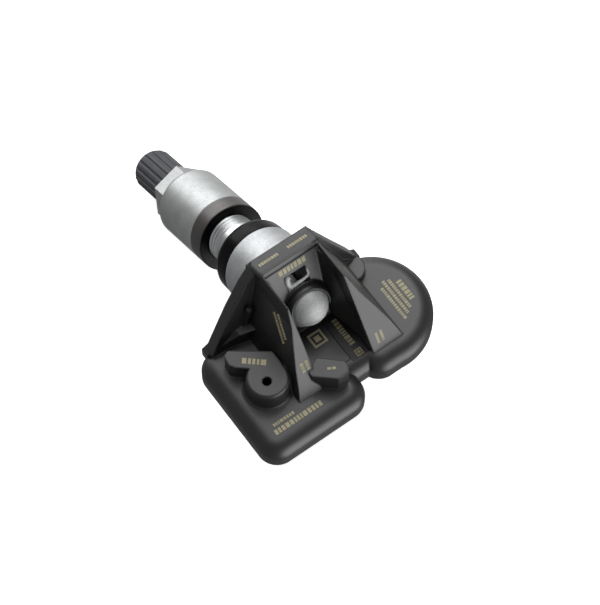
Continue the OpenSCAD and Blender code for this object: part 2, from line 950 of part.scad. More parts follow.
module core_cup() {
    color("#7c2f2a")
        mouth_frame()
            difference() {
                translate([0, 0, -15.9])
                    cylinder(h = 1.38, r1 = 1.3, r2 = 1.6);
                translate([0, 0, -30])
                    cylinder(h = 30, r = pin_d / 2 + 0.01);
            }
}

module core_spring() {
    color("#9fa2a6")
        mouth_frame()
            translate([0, 0, -13.4])
                linear_extrude(height = 9.2, twist = -360 * spring_turns, slices = 18 * spring_turns, $fn = 8)
                    translate([0.88, 0])
                        circle(r = 0.17, $fn = 8);
}

housing();
base_cover();
circuit_board();
board_parts();
sensor_chip();
port_seal();
lf_core();
lf_winding();
rf_antenna();
crystal();
round_cell();
cell_tab_top();
cell_tab_bottom();
ball_bolt();
valve_stem();
stem_collar();
rim_seal();
slide_ring();
clamp_nut();
valve_cap();
cap_seal();
core_body();
core_gasket();
core_pin();
core_cup();
core_spring();
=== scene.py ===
"""Looks of a clamp-in tyre pressure sensor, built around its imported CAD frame."""
import logging
import math
from dataclasses import dataclass, field
from enum import Enum
from typing import Optional, Sequence

import bmesh
import bpy
from mathutils import Matrix, Vector
from mathutils.geometry import interpolate_bezier


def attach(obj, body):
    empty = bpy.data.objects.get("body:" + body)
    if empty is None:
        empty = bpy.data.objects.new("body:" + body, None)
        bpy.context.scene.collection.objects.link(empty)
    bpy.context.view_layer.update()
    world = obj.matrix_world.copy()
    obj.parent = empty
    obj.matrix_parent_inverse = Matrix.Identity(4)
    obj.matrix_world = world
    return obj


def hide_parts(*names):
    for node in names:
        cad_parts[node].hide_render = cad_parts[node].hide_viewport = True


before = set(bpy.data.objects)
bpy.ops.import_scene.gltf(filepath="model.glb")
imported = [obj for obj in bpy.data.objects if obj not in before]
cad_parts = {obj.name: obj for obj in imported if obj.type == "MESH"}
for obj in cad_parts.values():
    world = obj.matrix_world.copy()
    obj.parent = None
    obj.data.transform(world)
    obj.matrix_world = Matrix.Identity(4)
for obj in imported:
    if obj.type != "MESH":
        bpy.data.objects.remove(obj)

log = logging.getLogger("tyre_sensor")
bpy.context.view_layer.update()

Pair = tuple[float, float]
Triple = tuple[float, float, float]

# Lengths are in millimetres unless a name or a docstring says metres
MM = 0.001
# How far the valve leans
VALVE_TILT = math.radians(27.0)
# Distance along the valve from the ball's middle to the rim's seat, which is the origin
RIM_FROM_BALL = 25.7
# The ball's middle in the housing's own frame
BALL_Y = 4.8
BALL_Z = 15.5
# The bridge's top above the valve's axis at its front, and its rise along the valve
BRIDGE_TOP = 13.8
BRIDGE_RISE = 0.12


def ball_middle() -> Vector:
    """Gives the ball's middle in the row frame."""
    return RIM_FROM_BALL * Vector((0, math.cos(VALVE_TILT), math.sin(VALVE_TILT)))


def valve_matrix() -> Matrix:
    """Frame of the valve: Z runs out along it from the ball's middle, Y up across it.

    Returns:
        The matrix from valve millimetres to the row frame in metres.
    """
    turn = Matrix.Rotation(math.pi / 2 + VALVE_TILT, 4, "X")
    return Matrix.Scale(MM, 4) @ Matrix.Translation(ball_middle()) @ turn


def base_matrix() -> Matrix:
    """Frame of the housing: Z is zero at its underside.

    Returns:
        The matrix from housing millimetres to the row frame in metres.
    """
    return Matrix.Scale(MM, 4) @ Matrix.Translation(ball_middle() - Vector((0, BALL_Y, BALL_Z)))


VALVE = valve_matrix()
BASE = base_matrix()


class Body(Enum):
    """CAD bodies that the new pieces ride on."""

    SENSOR = "sensor"
    NUT = "nut"


class Grain(Enum):
    """Direction in which a surface pattern is drawn out."""

    EVEN = (1.0, 1.0, 1.0)
    TURNED = (0.06, 0.06, 1.0)


def linear(code: str) -> tuple[float, float, float, float]:
    """Turns an sRGB hex colour into linear light.

    Args:
        code: Six hex digits with a leading hash.

    Returns:
        Red, green, blue and alpha, all linear.
    """
    raw = [int(code[i:i + 2], 16) / 255 for i in (1, 3, 5)]
    lin = [c / 12.92 if c <= 0.04045 else ((c + 0.055) / 1.055) ** 2.4 for c in raw]
    return (*lin, 1.0)


def add(tree: bpy.types.NodeTree, kind: str, sets: Optional[dict] = None,
        links: Optional[dict] = None) -> bpy.types.Node:
    """Adds a shader node with its settings and links.

    Args:
        tree: The node tree.
        kind: The node's type name without the ShaderNode prefix.
        sets: Attribute names or input names or numbers to values.
        links: Input names or numbers to output sockets.

    Returns:
        The new node.
    """
    node = tree.nodes.new("ShaderNode" + kind)
    for key, value in (sets or {}).items():
        if isinstance(key, str) and hasattr(node, key):
            setattr(node, key, value)
        else:
            node.inputs[key].default_value = value
    for key, socket in (links or {}).items():
        tree.links.new(socket, node.inputs[key])
    return node


@dataclass(frozen=True)
class Finish:
    """One finish: what the surface is made of and how it was made.

    Colours are sRGB hex, lengths are in millimetres. A real grain finer than the
    render can show is drawn as coarse as it needs to be.

    Attributes:
        name: Name of the real material.
        colour: Main colour.
        second: Colour of its patches and specks.
        roughness: Middle roughness.
        rough_spread: Difference between its roughest and smoothest places.
        metallic: Metal share.
        ior: Index of refraction, which only a finish that isn't metal uses.
        grain_mm: Size of the fine pattern.
        grain: Direction of the fine pattern.
        bump_mm: Height of the fine pattern.
        patch_mm: Size of the large patches.
        patch_share: How much of the second colour a patch has.
        edge_mm: Radius at which edges catch the light.
        coat: Weight of a clear coat.
        painted_shade_until_mm: Place along the valve up to which the surface is painted near black
            as painted shade.
        painted_shade_colour: Colour of that painted shade, up to that place.
    """

    name: str
    colour: str
    second: str
    roughness: float
    rough_spread: float = 0.08
    metallic: float = 0.0
    ior: float = 1.5
    grain_mm: float = 0.3
    grain: Grain = Grain.EVEN
    bump_mm: float = 0.01
    patch_mm: float = 6.0
    patch_share: float = 0.4
    edge_mm: float = 0.12
    coat: float = 0.0
    painted_shade_until_mm: Optional[float] = None
    painted_shade_colour: str = "#0b0b0c"

    # Stretches of the noise patterns that are spread over a whole range
    PATCH_RANGE = (0.35, 0.65)
    SPECK_RANGE = (0.4, 0.6)
    ROUGH_RANGE = (0.3, 0.7)
    # Most that a speck has of the second colour, and half width of the end of the painted shade
    # stretch
    SPECK_SHARE = 0.6
    PAINTED_SHADE_BLUR_MM = 0.02
    # Metallic value from which on a finish keeps the shader's own index of refraction
    METAL_FROM = 0.5

    def colours(self, tree: bpy.types.NodeTree, fine: bpy.types.NodeSocket,
                place: bpy.types.NodeSocket, turned: bpy.types.NodeSocket
                ) -> bpy.types.NodeSocket:
        """Mixes the colours by patch and speck, and paints shade on the stretch that lies in
        shadow.

        Args:
            tree: The node tree.
            fine: The fine pattern.
            place: Object coordinates.
            turned: The same with Z along the valve.

        Returns:
            The colour.
        """
        patch = add(tree, "TexNoise", {"Scale": 1 / (self.patch_mm * MM), "Detail": 2.0},
                    {"Vector": place})
        low, high = self.PATCH_RANGE
        share = add(tree, "MapRange", {1: low, 2: high, 3: 0.0, 4: self.patch_share},
                    {0: patch.outputs[0]})
        low, high = self.SPECK_RANGE
        speck = add(tree, "MapRange", {1: low, 2: high, 3: 0.0, 4: self.SPECK_SHARE}, {0: fine})
        part = add(tree, "Math", {"operation": "ADD", "use_clamp": True},
                   {0: share.outputs[0], 1: speck.outputs[0]})
        mix = add(tree, "Mix", {"data_type": "RGBA", 6: linear(self.colour),
                                7: linear(self.second)}, {0: part.outputs[0]})
        if self.painted_shade_until_mm is None:
            return mix.outputs[2]
        # Painted shade: up to the given place along the valve the colour is mixed to near black,
        # for the ring's face towards the seal, which lies in shadow
        split = add(tree, "SeparateXYZ", {}, {0: turned})
        edge, blur = (self.painted_shade_until_mm - RIM_FROM_BALL) * MM, self.PAINTED_SHADE_BLUR_MM * MM
        painted_shade_mask = add(tree, "MapRange", {1: edge - blur, 2: edge + blur, 3: 1.0, 4: 0.0},
                   {0: split.outputs[2]})
        dark = add(tree, "Mix", {"data_type": "RGBA", 7: linear(self.painted_shade_colour)},
                   {0: painted_shade_mask.outputs[0], 6: mix.outputs[2]})
        return dark.outputs[2]

    def build(self) -> bpy.types.Material:
        """Makes the node material.

        Returns:
            The new material.
        """
        mat = bpy.data.materials.new(self.name)
        mat.use_nodes = True
        tree = mat.node_tree
        tree.nodes.clear()
        place = add(tree, "TexCoord").outputs["Object"]
        turned = add(tree, "Mapping", {"Rotation": (-(math.pi / 2 + VALVE_TILT), 0, 0)},
                     {"Vector": place}).outputs[0]
        drawn = add(tree, "Mapping", {"Scale": self.grain.value}, {"Vector": turned})
        fine = add(tree, "TexNoise", {"Scale": 1 / (self.grain_mm * MM), "Detail": 3.0,
                                      "Roughness": 0.6}, {"Vector": drawn.outputs[0]}).outputs[0]
        low, high = self.ROUGH_RANGE
        rough = add(tree, "MapRange", {1: low, 2: high, 3: self.roughness - self.rough_spread / 2,
                                       4: self.roughness + self.rough_spread / 2}, {0: fine})
        soft = add(tree, "Bevel", {"samples": 6, "Radius": self.edge_mm * MM})
        bump = add(tree, "Bump", {"Strength": 1.0, "Distance": self.bump_mm * MM},
                   {"Height": fine, "Normal": soft.outputs[0]})
        shader = add(tree, "BsdfPrincipled",
                     {"Metallic": self.metallic, "Coat Weight": self.coat, "Coat Roughness": 0.1},
                     {"Base Color": self.colours(tree, fine, place, turned),
                      "Roughness": rough.outputs[0], "Normal": bump.outputs[0]})
        if self.metallic < self.METAL_FROM:
            shader.inputs["IOR"].default_value = self.ior
        add(tree, "OutputMaterial", {}, {"Surface": shader.outputs[0]})
        return mat


class Finishes:
    """Every finish of the sensor, built once."""

    # Moulded black nylon with glass fibre: near black, a faint grain and a soft sheen
    HOUSING = Finish("moulded_black_nylon", "#161617", "#1c1c1d", 0.40, 0.10, ior=1.5,
                     grain_mm=0.16, bump_mm=0.006, patch_mm=9.0, edge_mm=0.5)
    # The same nylon on the flat cover: a little duller
    COVER = Finish("moulded_cover_nylon", "#171718", "#1d1d1e", 0.52, 0.08, ior=1.45,
                   grain_mm=0.2, bump_mm=0.006, edge_mm=0.15)
    # Nylon burnt by the marking laser: matte pale khaki
    MARK = Finish("laser_marking", "#8a8469", "#a09a7c", 0.7, 0.1, grain_mm=0.12, bump_mm=0.004,
                  edge_mm=0.02)
    # Fibreglass board under lacquer: green with a clear gloss
    BOARD = Finish("lacquered_board", "#1d5133", "#17452b", 0.35, 0.06, grain_mm=0.5,
                   bump_mm=0.004, edge_mm=0.05, coat=0.3)
    # Fired ceramic: dull tan
    CERAMIC = Finish("fired_ceramic", "#9a8460", "#857049", 0.5, grain_mm=0.2, edge_mm=0.05)
    # Moulded epoxy: dull near black
    CHIP = Finish("epoxy_case", "#232325", "#2b2b2d", 0.55, grain_mm=0.12, edge_mm=0.08)
    # Moulded silicone: soft dull grey
    SILICONE = Finish("grey_silicone", "#7b7e82", "#85888c", 0.6, grain_mm=0.3, edge_mm=0.08)
    # Sintered ferrite: dull dark grey with a fine grain
    FERRITE = Finish("sintered_ferrite", "#37373a", "#2f2f32", 0.6, grain_mm=0.15, edge_mm=0.06)
    # Copper wire under lacquer: warm red metal with a clear gloss
    COPPER = Finish("lacquered_copper_wire", "#b5653a", "#9d5430", 0.3, metallic=1.0,
                    grain_mm=0.3, edge_mm=0.02, coat=0.4)
    # Gold-plated spring sheet: smooth yellow metal
    GOLD = Finish("plated_sheet", "#d0aa58", "#bf984a", 0.3, metallic=1.0, grain_mm=0.3,
                  edge_mm=0.04)
    # Nickel-plated steel: bright pale metal, nearly smooth
    NICKEL = Finish("nickel_plated_steel", "#c4c5c7", "#b2b4b6", 0.28, metallic=1.0,
                    grain_mm=0.2, bump_mm=0.004, edge_mm=0.08)
    # Zinc-nickel plated steel: satin grey, softly mottled
    BALL = Finish("satin_plated_ball", "#acaead", "#989a99", 0.66, 0.12, metallic=0.55,
                  grain_mm=0.35, bump_mm=0.014, patch_mm=1.6, edge_mm=0.15)
    # Turned aluminium: bright, with fine rings from the lathe
    STEM = Finish("turned_aluminium", "#c9cbcc", "#b4b6b8", 0.3, 0.12, metallic=1.0,
                  grain_mm=0.08, grain=Grain.TURNED, bump_mm=0.004, edge_mm=0.05)
    # Blasted and anodised aluminium: bright and frosted
    COLLAR = Finish("blasted_aluminium", "#b9bbbc", "#9fa1a3", 0.5, 0.14, metallic=1.0,
                    grain_mm=0.22, bump_mm=0.016, patch_mm=2.5, edge_mm=0.2)
    # Satin anodised aluminium: a little darker and smoother than the collar
    NUT = Finish("satin_anodised_aluminium", "#b6b8b8", "#9c9e9e", 0.46, 0.12, metallic=1.0,
                 grain_mm=0.2, bump_mm=0.010, patch_mm=3.0, edge_mm=0.16)
    # Dark anodised aluminium: brownish grey; its face towards the seal, which lies in shadow, is
    # painted nearly black as painted shade
    RING = Finish("dark_anodised_ring_painted_shade", "#5d5b5a", "#4f4d4c", 0.38, 0.1, metallic=0.9,
                  grain_mm=0.15, grain=Grain.TURNED, bump_mm=0.004, edge_mm=0.12,
                  painted_shade_until_mm=31.4)
    # Moulded rubber, smooth from the tool: deep black and shiny
    RUBBER = Finish("smooth_black_rubber", "#030304", "#060607", 0.18, 0.05, ior=1.16,
                    grain_mm=0.3, bump_mm=0.004, edge_mm=0.2)
    # Moulded nylon of the cap: matte dark grey with a blue touch
    CAP = Finish("matte_cap_plastic", "#303236", "#3a3c40", 0.6, 0.1, grain_mm=0.14,
                 bump_mm=0.010, patch_mm=2.0, edge_mm=0.1)
    # Turned brass: yellow metal with fine rings
    BRASS = Finish("turned_brass", "#c9a456", "#b48f45", 0.28, metallic=1.0, grain_mm=0.1,
                   grain=Grain.TURNED, bump_mm=0.003, edge_mm=0.04)
    # Fluoropolymer: waxy off-white
    WHITE = Finish("white_washer", "#e2e0d8", "#d6d4cb", 0.45, grain_mm=0.2, edge_mm=0.04)
    # Moulded seal rubber: dull dark red
    RED = Finish("dark_red_rubber", "#6f2a25", "#5f221e", 0.55, grain_mm=0.2, edge_mm=0.05)
    # Drawn spring wire: smooth grey metal
    WIRE = Finish("spring_wire", "#9b9ea2", "#8a8d91", 0.3, metallic=1.0, grain_mm=0.1,
                  edge_mm=0.01)

    def __init__(self) -> None:
        """Starts with no material made."""
        self.made: dict[str, bpy.types.Material] = {}

    def get(self, finish: Finish) -> bpy.types.Material:
        """Gives the material of a finish, made at its first use.

        Args:
            finish: The finish.

        Returns:
            Its material.
        """
        if finish.name not in self.made:
            self.made[finish.name] = finish.build()
        return self.made[finish.name]


FINISHES = Finishes()


def piece(name: str, bm: bmesh.types.BMesh, place: Matrix, finish: Finish, body: Body,
          smooth: bool = True) -> bpy.types.Object:
    """Turns a bmesh in millimetres into a finished piece at the origin.

    Args:
        name: The piece's name.
        bm: The mesh, which is freed.
        place: Matrix from the mesh's millimetres to the row frame.
        finish: Its finish.
        body: The CAD body it rides on.
        smooth: Whether its faces shade smoothly.

    Returns:
        The new object.
    """
    bmesh.ops.transform(bm, matrix=place, verts=bm.verts)
    bmesh.ops.recalc_face_normals(bm, faces=bm.faces)
    for face in bm.faces:
        face.smooth = smooth
    mesh = bpy.data.meshes.new(name)
    bm.to_mesh(mesh)
    bm.free()
    obj = bpy.data.objects.new(name, mesh)
    bpy.context.scene.collection.objects.link(obj)
    mesh.materials.append(FINISHES.get(finish))
    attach(obj, body.value)
    log.info("piece %s: %d faces", name, len(mesh.polygons))
    return obj


def block(bm: bmesh.types.BMesh, size: Sequence[float], at: Matrix, bevel: float = 0.0) -> None:
    """Adds a block, bevelled where a width is given.

    Args:
        bm: The mesh to add to.
        size: Its three side lengths.
        at: Where its middle goes.
        bevel: Width of its bevel, none at 0.
    """
    made = bmesh.ops.create_cube(bm, size=1.0, matrix=at @ Matrix.Diagonal((*size, 1.0)))
    if bevel > 0:
        edges = list({e for v in made["verts"] for e in v.link_edges})
        bmesh.ops.bevel(bm, geom=edges, offset=bevel, offset_type="OFFSET", segments=2,
                        profile=0.5, affect="EDGES", material=-1)


def loop(bm: bmesh.types.BMesh, points: Sequence[Sequence[float]]) -> list[bmesh.types.BMEdge]:
    """Adds a closed loop of edges.

    Args:
        bm: The mesh to add to.
        points: Its corners in order.

    Returns:
        The new edges.
    """
    verts = [bm.verts.new(point) for point in points]
    return [bm.edges.new(ends) for ends in zip(verts, verts[1:] + verts[:1])]


def skin(bm: bmesh.types.BMesh, rings: Sequence[Sequence[Sequence[float]]]) -> None:
    """Adds a closed body through rings of equally many points.

    Args:
        bm: The mesh to add to.
        rings: The rings in order, the first and last of which are filled.
    """
    loops = [loop(bm, ring) for ring in rings]
    for low, high in zip(loops, loops[1:]):
        bmesh.ops.bridge_loops(bm, edges=low + high)
    for end in (loops[0], loops[-1]):
        bmesh.ops.edgeloop_fill(bm, edges=end)


def plane(across: Sequence[float], up: Sequence[float], out: Sequence[float],
          at: Sequence[float]) -> Matrix:
    """Frame of a plane: X across it, Y up it and Z out of it.

    Args:
        across: Direction of X.
        up: Direction of Y.
        out: Direction of Z.
        at: The frame's origin.

    Returns:
        The frame.
    """
    return Matrix.Translation(at) @ Matrix((across, up, out)).transposed().to_4x4()


@dataclass
class Dress:
    """Gives every CAD node its finish.

    Attributes:
        nodes: CAD nodes to finishes.
    """

    nodes: dict[str, Finish] = field(default_factory=lambda: {
        "housing": Finishes.HOUSING, "base_cover": Finishes.COVER,
        "circuit_board": Finishes.BOARD, "board_parts": Finishes.CERAMIC,
        "sensor_chip": Finishes.CHIP, "port_seal": Finishes.SILICONE,
        "lf_core": Finishes.FERRITE, "lf_winding": Finishes.COPPER,
        "rf_antenna": Finishes.GOLD, "crystal": Finishes.NICKEL,
        "round_cell": Finishes.NICKEL, "cell_tab_top": Finishes.NICKEL,
        "cell_tab_bottom": Finishes.NICKEL, "ball_bolt": Finishes.BALL,
        "valve_stem": Finishes.STEM, "stem_collar": Finishes.COLLAR,
        "rim_seal": Finishes.RUBBER, "slide_ring": Finishes.RING,
        "clamp_nut": Finishes.NUT, "valve_cap": Finishes.CAP,
        "cap_seal": Finishes.RUBBER, "core_body": Finishes.BRASS,
        "core_gasket": Finishes.WHITE, "core_pin": Finishes.BRASS,
        "core_cup": Finishes.RED, "core_spring": Finishes.WIRE})

    def build(self) -> None:
        """Puts the finishes on the CAD nodes."""
        for name, finish in self.nodes.items():
            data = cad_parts[name].data
            data.materials.clear()
            data.materials.append(FINISHES.get(finish))
            log.info("node %s: %s", name, finish.name)


@dataclass(frozen=True)
class Row:
    """A row of small bars in a plane.

    Attributes:
        start: First end of the row's middle line.
        end: Last end of that line.
        height: Height of the bars across the row.
        count: How many bars.
    """

    start: Pair
    end: Pair
    height: float
    count: int


@dataclass(frozen=True)
class Square:
    """An open frame with a plain field in it.

    Attributes:
        middle: Its middle in the plane.
        size: Its outer width and height.
        line: Width of its line.
    """

    middle: Pair
    size: Pair
    line: float


@dataclass(frozen=True)
class Lean:
    """A leaning face of a leg.

    Attributes:
        start: Point on the face where its frame sits.
        end: Point that the frame's X runs towards.
        normal: The face's outward normal.
    """

    start: Triple
    end: Triple
    normal: Triple


@dataclass
class Marks:
    """Plain laser marks on the housing: short bars and two frames, with no lettering.

    Attributes:
        lift: Height of a bar's middle above its plane.
        thick: A bar's thickness.
        gap: How far a leaning face's frame stands off the face.
        space: Space between bars, as a share of a bar of width 1.
        field_share: Share of a frame's width and height that its field takes.
        widths: Widths that the bars take from.
        stride: Step through these widths from bar to bar.
        round_lobe, square_lobe, boss, channel, slope, left, right, wall, bridge: Rows of each
            place.
        channel_square, step_square: Frames of the channel's floor and of its step.
        lobe_z, boss_z, channel_z, step_z: Heights of the flat places.
        slope_at: Point on the slopes at the legs' front.
        slope_out: Their outward normal, in Y and Z.
        wall_s: Place of the front wall along the valve.
        left_face, right_face: The legs' leaning faces.
    """

    lift: float = 0.012
    thick: float = 0.02
    gap: float = 0.03
    space: float = 0.35
    field_share: float = 0.42
    widths: tuple[float, ...] = (1.0, 0.7, 1.2, 0.9, 0.6, 1.1, 0.8, 1.3, 0.7, 1.0)
    stride: int = 3
    round_lobe: tuple[Row, ...] = (
        Row((-21.4, 9.2), (-21.4, 14.4), 1.3, 6), Row((-19.8, 7.8), (-19.8, 15.8), 0.7, 14),
        Row((-18.6, 7.4), (-18.6, 16.6), 0.7, 16), Row((-17.4, 8.6), (-17.4, 17.4), 0.7, 15))
    square_lobe: tuple[Row, ...] = (
        Row((20.9, 22.5), (8.8, 22.5), 1.2, 13), Row((20.2, 20.9), (14.9, 20.9), 0.7, 8))
    boss: tuple[Row, ...] = (
        Row((18.1, 6.6), (14.2, 10.0), 1.3, 5), Row((4.6, 18.7), (3.0, 19.6), 0.6, 2))
    channel: tuple[Row, ...] = (Row((-5.0, 7.9), (-5.0, 15.0), 1.3, 9),)
    slope: tuple[Row, ...] = (
        Row((-7.9, 2.6), (-7.9, 5.2), 0.8, 5), Row((-9.1, 2.6), (-9.1, 5.2), 0.8, 5),
        Row((8.9, 7.0), (8.9, 9.8), 0.6, 6), Row((10.1, 7.0), (10.1, 9.8), 0.6, 6))
    left: tuple[Row, ...] = (
        Row((0, 0), (7.2, 0), 0.75, 15), Row((0.4, 1.25), (6.2, 1.25), 0.75, 12))
    right: tuple[Row, ...] = (Row((0, 0), (5.2, 0), 0.8, 7),)
    wall: tuple[Row, ...] = (Row((-3.5, 11.2), (3.3, 11.2), 1.4, 7),)
    bridge: tuple[Row, ...] = (
        Row((-6.0, 2.4), (-1.2, 2.4), 0.8, 9), Row((1.3, 2.4), (6.2, 2.4), 0.8, 9))
    channel_square: Square = Square((-5.0, 17.2), (1.7, 1.7), 0.3)
    step_square: Square = Square((0.7, 9.9), (3.4, 3.4), 0.5)
    lobe_z: float = 8.0
    boss_z: float = 13.0
    channel_z: float = 6.4
    step_z: float = 7.5
    slope_at: Triple = (0, 14.05, 17.85)
    slope_out: Pair = (0.856, 0.517)
    wall_s: float = -0.12
    left_face: Lean = Lean((8.40, 4.9, 22.2), (9.9, 10.4, 17.6), (0.953, 0, 0.303))
    right_face: Lean = Lean((-10.6, 3.7, 18.6), (-11.1, 8.2, 17.33), (-0.915, 0, 0.403))

    def rows(self, bm: bmesh.types.BMesh, place: Matrix, rows: Sequence[Row]) -> None:
        """Draws rows of small bars in one plane.

        Args:
            bm: The mesh to add to.
            place: The plane's frame.
            rows: The rows.
        """
        for row in rows:
            start, end = Vector((*row.start, 0)), Vector((*row.end, 0))
            along = end - start
            turn = Matrix.Rotation(math.atan2(along.y, along.x), 4, "Z")
            widths = [self.widths[(i * self.stride + row.count) % len(self.widths)]
                      for i in range(row.count)]
            unit = along.length / (sum(widths) + self.space * (row.count - 1))
            at = 0.0
            for width in widths:
                mid = start + along.normalized() * (at + width * unit / 2)
                mid.z = self.lift
                block(bm, (width * unit, row.height, self.thick),
                      place @ Matrix.Translation(mid) @ turn)
                at += (width + self.space) * unit

    def square(self, bm: bmesh.types.BMesh, place: Matrix, square: Square) -> None:
        """Draws an open frame with a plain field in it.

        Args:
            bm: The mesh to add to.
            place: The plane's frame.
            square: The frame to draw.
        """
        w, h = square.size
        line, share = square.line, self.field_share
        for dx, dy, sx, sy in ((0, (h - line) / 2, w, line), (0, -(h - line) / 2, w, line),
                               ((w - line) / 2, 0, line, h - 2 * line),
                               (-(w - line) / 2, 0, line, h - 2 * line),
                               (0, 0, w * share, h * share)):
            spot = (square.middle[0] + dx, square.middle[1] + dy, self.lift)
            block(bm, (sx, sy, self.thick), place @ Matrix.Translation(spot))

    def lean(self, face: Lean) -> Matrix:
        """Gives the frame of a leaning face, a hair above it.

        Args:
            face: The face.

        Returns:
            Its frame, with X from the face's start to its end.
        """
        out = Vector(face.normal).normalized()
        along = (Vector(face.end) - Vector(face.start)).normalized()
        up = out.cross(along).normalized()
        return plane(up.cross(out), up, out, Vector(face.start) + out * self.gap)

    def build(self) -> None:
        """Builds all marks as two pieces, one per frame."""
        top, boss, channel, step = (Matrix.Translation((0, 0, z)) for z in (
            self.lobe_z, self.boss_z, self.channel_z, self.step_z))
        out_y, out_z = self.slope_out
        slope = plane((-1, 0, 0), (0, out_z, -out_y), (0, out_y, out_z), self.slope_at)
        flat = bmesh.new()
        for place, rows in ((top, self.round_lobe), (top, self.square_lobe), (boss, self.boss),
                            (channel, self.channel), (slope, self.slope),
                            (self.lean(self.left_face), self.left),
                            (self.lean(self.right_face), self.right)):
            self.rows(flat, place, rows)
        self.square(flat, channel, self.channel_square)
        self.square(flat, step, self.step_square)
        piece("housing_marks", flat, BASE, Finishes.MARK, Body.SENSOR, smooth=False)
        upright = bmesh.new()
        self.rows(upright, plane((-1, 0, 0), (0, 1, 0), (0, 0, -1), (0, 0, self.wall_s)), self.wall)
        self.rows(upright, plane((-1, 0, 0), (0, BRIDGE_RISE, 1), (0, 1, -BRIDGE_RISE),
                                 (0, BRIDGE_TOP, 0)), self.bridge)
        piece("seat_marks", upright, VALVE, Finishes.MARK, Body.SENSOR, smooth=False)


@dataclass
class Bridge:
    """Smooth rounded band along the top of the wall that holds the ball.

    Attributes:
        left, right: Its ends across the valve.
        front, back: Its sides along the valve.
        low: Height of its underside, which lies inside the housing.
        corner: Radius of its back corners.
        front_corner: Radius of its front corners.
        rim: Radius of its rounded rim.
        steps: Faces round each corner and along the rim.
    """

    left: float = -7.9
    right: float = 7.6
    front: float = -0.12
    back: float = 5.2
    low: float = 12.2
    corner: float = 1.7
    front_corner: float = 1.0
    rim: float = 0.8
    steps: int = 6

    def outline(self, inset: float) -> list[Pair]:
        """Gives the rounded outline moved inwards.

        Args:
            inset: How far inwards.

        Returns:
            Points across and along the valve.
        """
        points = []
        for x, s, side, end, corner, turn in (
                (self.right, self.back, 1, 1, self.corner, 0),
                (self.left, self.back, -1, 1, self.corner, 90),
                (self.left, self.front, -1, -1, self.front_corner, 180),
                (self.right, self.front, 1, -1, self.front_corner, 270)):
            for k in range(self.steps + 1):
                a = math.radians(turn + 90 * k / self.steps)
                points.append((x - side * corner + (corner - inset) * math.cos(a),
                               s - end * corner + (corner - inset) * math.sin(a)))
        return points

    def build(self) -> None:
        """Builds the band with rounded corners and a rounded rim."""
        rings = [[(x, self.low, s) for x, s in self.outline(0.0)]]
        for k in range(self.steps + 1):
            a = math.radians(90 * k / self.steps)
            top = BRIDGE_TOP - self.rim * (1 - math.sin(a))
            rings.append([(x, top + BRIDGE_RISE * s, s)
                          for x, s in self.outline(self.rim * (1 - math.cos(a)))])
        bm = bmesh.new()
        skin(bm, rings)
        piece("bridge_band", bm, VALVE, Finishes.HOUSING, Body.SENSOR)


@dataclass
class BallClip:
    """Metal lip with a hooked end round the window's lower edge.

    Attributes:
        path: Points across and up the valve, each with the lip's radius there.
        steps: Stretches between two points.
        sides: Faces round the lip.
    """

    path: tuple[Triple, ...] = (
        (1.5, 9.0, 0.5), (2.1, 8.7, 0.62), (2.3, 8.0, 0.7), (2.25, 7.2, 0.66), (1.9, 6.5, 0.5),
        (1.0, 6.35, 0.38), (-0.6, 6.35, 0.34), (-2.0, 6.45, 0.32), (-2.75, 6.9, 0.3),
        (-2.85, 7.8, 0.26), (-2.8, 8.5, 0.2))
    steps: int = 5
    sides: int = 12

    def smooth_path(self) -> list[Vector]:
        """Gives the path with smooth bends, through all of its points.

        Returns:
            Points across and up the valve, each with the lip's radius there.
        """
        points = [Vector(p) for p in self.path]
        ends = [points[0] * 2 - points[1], *points, points[-1] * 2 - points[-2]]
        smooth = []
        # Handles a sixth of the way between a point's neighbours make the bends even
        for a, b, c, d in zip(ends, ends[1:], ends[2:], ends[3:]):
            smooth += interpolate_bezier(b, b + (c - a) / 6, c - (d - b) / 6, c,
                                         self.steps + 1)[:-1]
        return [*smooth, points[-1]]

    def build(self) -> None:
        """Sweeps a circle along the smooth path."""
        path = self.smooth_path()
        rings = []
        for before, here, after in zip(path[:1] + path, path, path[1:] + path[-1:]):
            side = Vector((after.y - before.y, before.x - after.x, 0)).normalized()
            turns = (2 * math.pi * k / self.sides for k in range(self.sides))
            rings.append([Vector((here.x, here.y, here.z * math.sin(a)))
                          + side * (here.z * math.cos(a)) for a in turns])
        bm = bmesh.new()
        skin(bm, rings)
        piece("ball_clip", bm, VALVE, Finishes.BALL, Body.SENSOR)


@dataclass
class SocketLip:
    """Raised lip of the socket, which hugs the ball on its upper side.

    Attributes:
        section: Its corners, each as radius and place along the valve.
        first, last: Angles of its ends in degrees.
        steps: Faces along it.
    """

    section: tuple[Pair, ...] = ((5.0, -0.8), (4.9, -0.95), (4.45, -2.1), (4.62, -2.28),
                                 (4.85, -2.2), (5.75, -0.8))
    first: float = -30.0
    last: float = 200.0
    steps: int = 60

    def build(self) -> None:
        """Spins the lip's section through its arc."""
        bm = bmesh.new()
        a = math.radians(self.first)
        edges = loop(bm, [(r * math.cos(a), r * math.sin(a), s) for r, s in self.section])
        bmesh.ops.edgeloop_fill(bm, edges=edges)
        bmesh.ops.spin(bm, geom=[*bm.verts, *bm.edges, *bm.faces], cent=(0, 0, 0), axis=(0, 0, 1),
                       dvec=(0, 0, 0), angle=math.radians(self.last - self.first),
                       steps=self.steps)
        piece("socket_lip", bm, VALVE, Finishes.HOUSING, Body.SENSOR)


